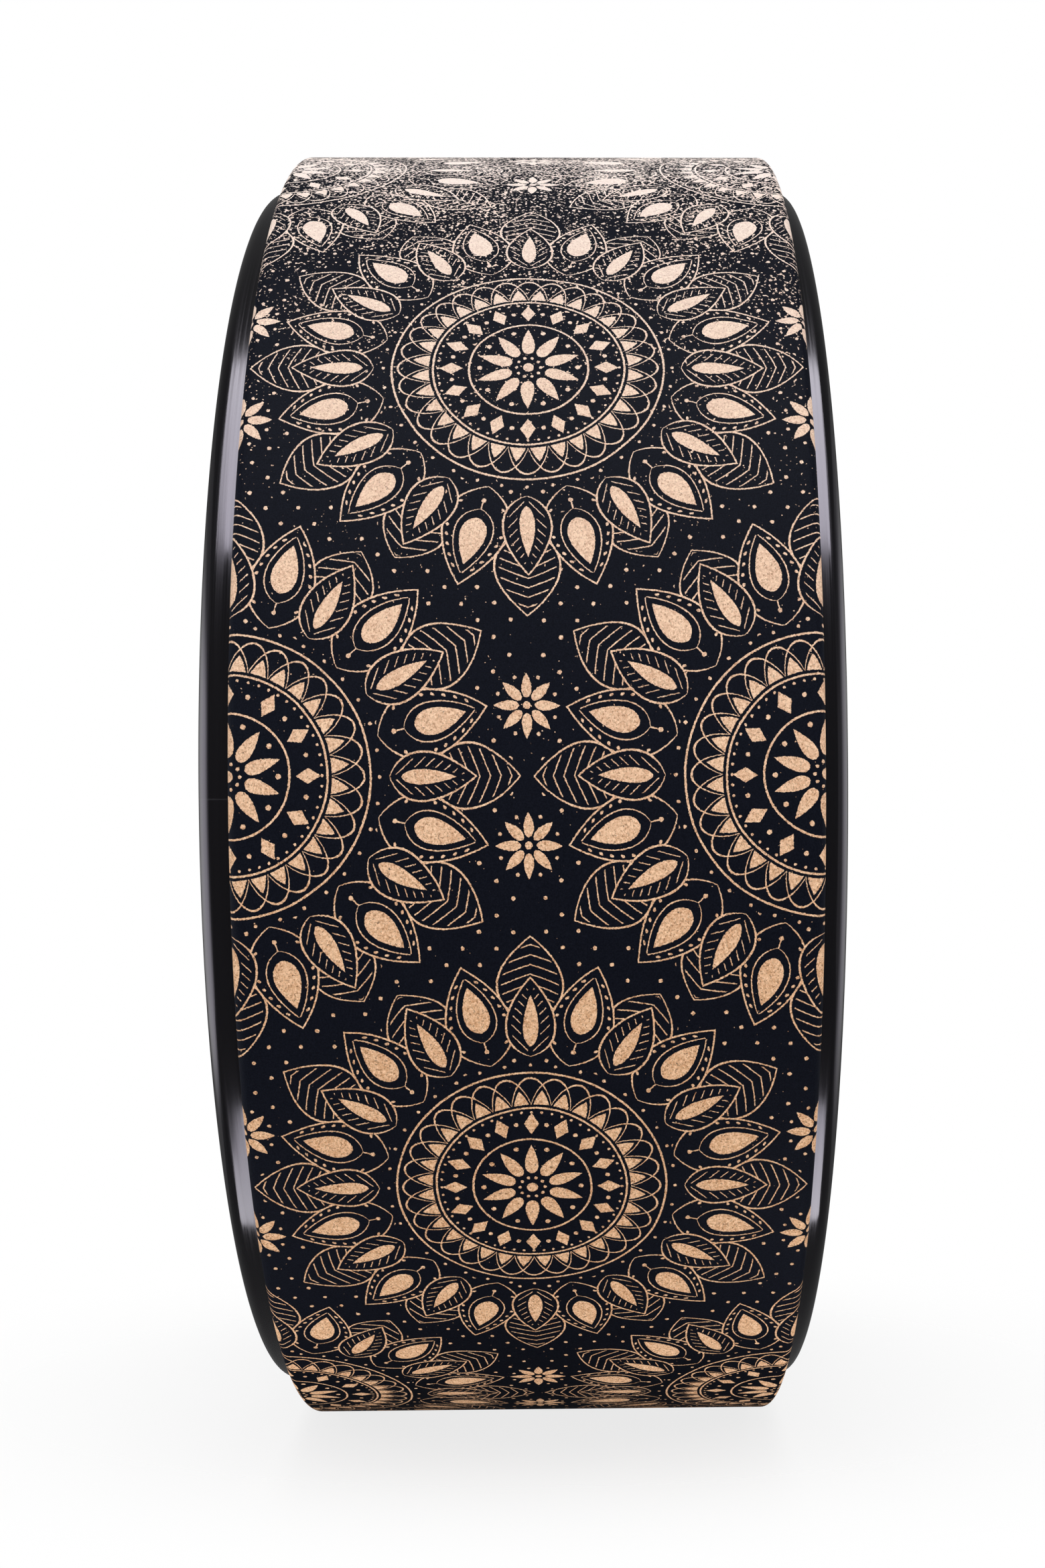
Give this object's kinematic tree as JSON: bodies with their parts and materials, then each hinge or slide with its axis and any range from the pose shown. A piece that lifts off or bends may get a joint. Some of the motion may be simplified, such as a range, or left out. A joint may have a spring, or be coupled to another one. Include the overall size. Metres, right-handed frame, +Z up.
{
  "type": "yoga wheel",
  "caption": "Hoop-shaped yoga wheel: a glossy black plastic ring with rounded rims, wrapped in a foam-cushioned cork tread with a dark all-over print.",
  "frame": {"origin": "the wheel's centre: on its axis, halfway across its width", "axes": "+Y along the wheel's axis, +Z up; the wheel stands on its tread at the lowest Z"},
  "size_m": [0.33, 0.127, 0.33],
  "materials": {
    "hoop_plastic": "black ABS, turned and polished, glossy with fine rings round the rims",
    "tape": "clear double-coated adhesive tape",
    "cushion_foam": "black closed-cell foam, cut edge",
    "printed_cork": "natural agglomerated cork with a matt blue-black screen print"
  },
  "bodies": {
    "root": {"hoop": "hoop_plastic", "inner_tape": "tape", "cushion_band": "cushion_foam", "outer_tape": "tape", "cork_tread": "printed_cork"}
  },
  "joints": []
}
